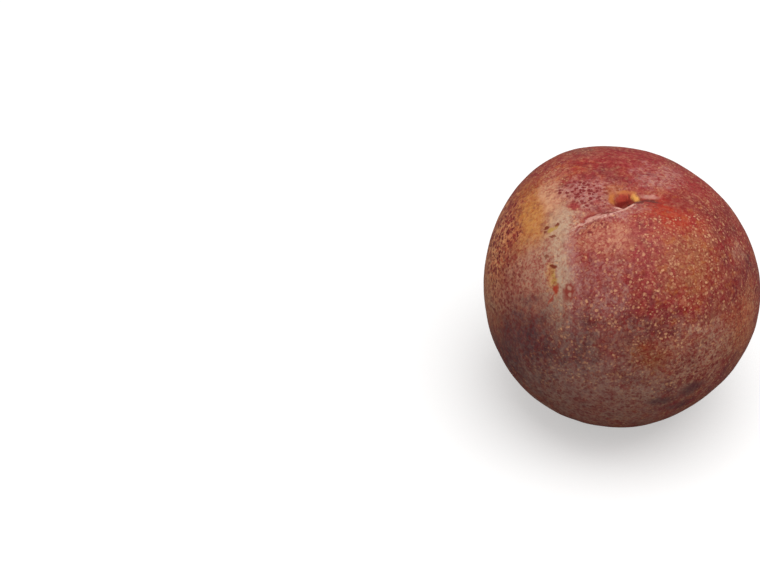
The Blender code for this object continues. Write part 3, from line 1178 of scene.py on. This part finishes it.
# %% Paint the scars
BLOSSOM_SCAR_RADIUS = 1.4 * MM
SCARS = {
    "red drop": (SCAR_RED, 0.9, Patch(556, 289, 2.4, 5.0, -10, 0.5)),
    "drop's tail": (SCAR_RED, 0.6, Patch(551, 299, 1.2, 6, -30, 0.5)),
    "ring": (RING_BROWN, 0.95, Patch(569.5, 292, 5.0, 8.2, 0, 0.4)),
    "ring's upper hole": (BLOOM_PINK, 0.8, Patch(569.5, 288, 1.6, 2.2, 0, 0.5)),
    "ring's lower hole": (BLOOM_PINK, 0.8, Patch(570, 295, 1.8, 2.4, 0, 0.5)),
    "upper nick": (CORK, 0.95, Patch(547, 228, 3, 1.6, 20, 0.3)),
    "upper nick's gold": (SCAR_GREEN, 0.9, Patch(550, 230.5, 3.6, 1.4, 20, 0.3)),
    "second nick": (CORK, 0.9, Patch(557, 225, 2.5, 1.3, 30, 0.3)),
    "second nick's gold": (SCAR_GREEN, 0.6, Patch(555, 228, 3.6, 1.2, 30, 0.3)),
    "third nick": (CORK, 0.8, Patch(552, 236.5, 3.4, 1.1, 0, 0.3)),
    "left nick": (CORK, 0.8, Patch(545, 232, 1.6, 1.8, 0, 0.3)),
    "low nick": (CORK, 0.75, Patch(546.5, 257, 2.0, 1.6, 0, 0.3)),
    "dash": (CORK, 0.95, Patch(553, 266.5, 3.6, 1.6, -8, 0.3)),
    "scuff": (PLUM_BROWN, 0.7, Patch(692, 388, 12, 5, 25, 0.7)),
    "second scuff": (PLUM_BROWN, 0.6, Patch(660, 401, 14, 3, 8, 0.7)),
    "third scuff": (PLUM_BROWN, 0.5, Patch(680, 404, 12, 3, 20, 0.7)),
}
colour = lay(colour, SCARS, finely_ragged, barely_frayed)
blossom_scar = place_group(tree, soft_patch, {
    "Place": finely_ragged,
    "Centre": (0.0, 0.0, 0.0),
    "Turn": (0.0, 0.0, 0.0),
    "Reach": [BLOSSOM_SCAR_RADIUS * GRADIENT_REACH] * 3,
    "Softness": 0.4,
    "Fray": barely_frayed,
})
colour = wash(colour, CORK, blossom_scar, strength=0.95)
print("blossom scar", round(2 * BLOSSOM_SCAR_RADIUS / MM, 1), "mm across")

# %% [markdown]
# ## Finish
#
# Bare skin has a dull shine and bloom has almost none, so the dust also drives the roughness. Last, a
# Bump node sinks the pores a little and roughens the film. A bump is right here, because these are
# finer than the mesh.

# %% Finish the surface
BARE_ROUGHNESS = 0.5
DUST_ROUGHENS = 0.25
SHINE = 0.2
PORES_SINK = 0.6
RELIEF_HEIGHT = 0.06 * MM
RELIEF_STRENGTH = 0.8

tree.links.new(colour, shader.inputs["Base Color"])
roughness = sums(tree, "MULTIPLY_ADD", dust, DUST_ROUGHENS, BARE_ROUGHNESS)
tree.links.new(roughness, shader.inputs["Roughness"])
shader.inputs["Specular IOR Level"].default_value = SHINE
height = sums(tree, "MULTIPLY_ADD", pores, -PORES_SINK, fine)
relief = node(
    tree,
    "ShaderNodeBump",
    {"Height": height, "Strength": RELIEF_STRENGTH, "Distance": RELIEF_HEIGHT},
)
tree.links.new(relief.outputs["Normal"], shader.inputs["Normal"])
skin.data.materials.append(skin_paint)
print("skin material", len(tree.nodes), "nodes")

# %% [markdown]
# ## The table and the light
#
# The fruit stands on a plain white table, under one big soft lamp above it and a dim room. The table
# glows a little where the camera sees it, so that it looks white under a soft light, and it throws
# only a dim light back up at the fruit. A Light Path node tells the camera's rays from the others.

# %% Set the table
FLOOR_SIZE = 6.0
TABLE_GREY = (0.6, 0.6, 0.6, 1.0)
TABLE_GLOW = (1.0, 0.99, 0.98, 1.0)
GLOW_STRENGTH = 0.45
BOUNCED_GREY = (0.22, 0.21, 0.20, 1.0)
bpy.ops.object.select_all(action="DESELECT")
bpy.ops.mesh.primitive_plane_add(size=FLOOR_SIZE, location=(0.0, 0.0, 0.0))
floor = bpy.context.object
floor.name = "floor"

table_top = bpy.data.materials.new("white table")
table_top.use_nodes = True
top_tree = table_top.node_tree
top_tree.nodes.clear()
lit = node(top_tree, "ShaderNodeBsdfDiffuse", {"Color": TABLE_GREY}).outputs[0]
glow_inputs = {"Color": TABLE_GLOW, "Strength": GLOW_STRENGTH}
glow = node(top_tree, "ShaderNodeEmission", glow_inputs).outputs[0]
seen = node(top_tree, "ShaderNodeAddShader", {0: lit, 1: glow}).outputs[0]
bounced = node(top_tree, "ShaderNodeBsdfDiffuse", {"Color": BOUNCED_GREY}).outputs[0]
by_camera = node(top_tree, "ShaderNodeLightPath").outputs["Is Camera Ray"]
both = node(top_tree, "ShaderNodeMixShader", {0: by_camera, 1: bounced, 2: seen}).outputs[0]
node(top_tree, "ShaderNodeOutputMaterial", {"Surface": both})
floor.data.materials.append(table_top)
print("table", FLOOR_SIZE, "m wide")

# %% Light it
LAMP_PLACE = (0.1, -0.12, 0.9)
LAMP_SIZE = 0.9
LAMP_POWER = 7.5
ROOM_WHITE = (1.0, 1.0, 1.0, 1.0)
ROOM_STRENGTH = 0.45

bpy.ops.object.light_add(type="AREA", location=LAMP_PLACE)
window = bpy.context.object
window.name = "window"
window.data.size = LAMP_SIZE
window.data.energy = LAMP_POWER
towards_fruit = middle - Vector(LAMP_PLACE)
window.rotation_euler = towards_fruit.to_track_quat("-Z", "Y").to_euler()

room = bpy.data.worlds.new("room")
room.use_nodes = True
room_light = room.node_tree.nodes["Background"].inputs
room_light["Color"].default_value = ROOM_WHITE
room_light["Strength"].default_value = ROOM_STRENGTH
bpy.context.scene.world = room
bpy.context.scene.view_settings.view_transform = "Standard"
print(window.name, window.data.energy, "watts")
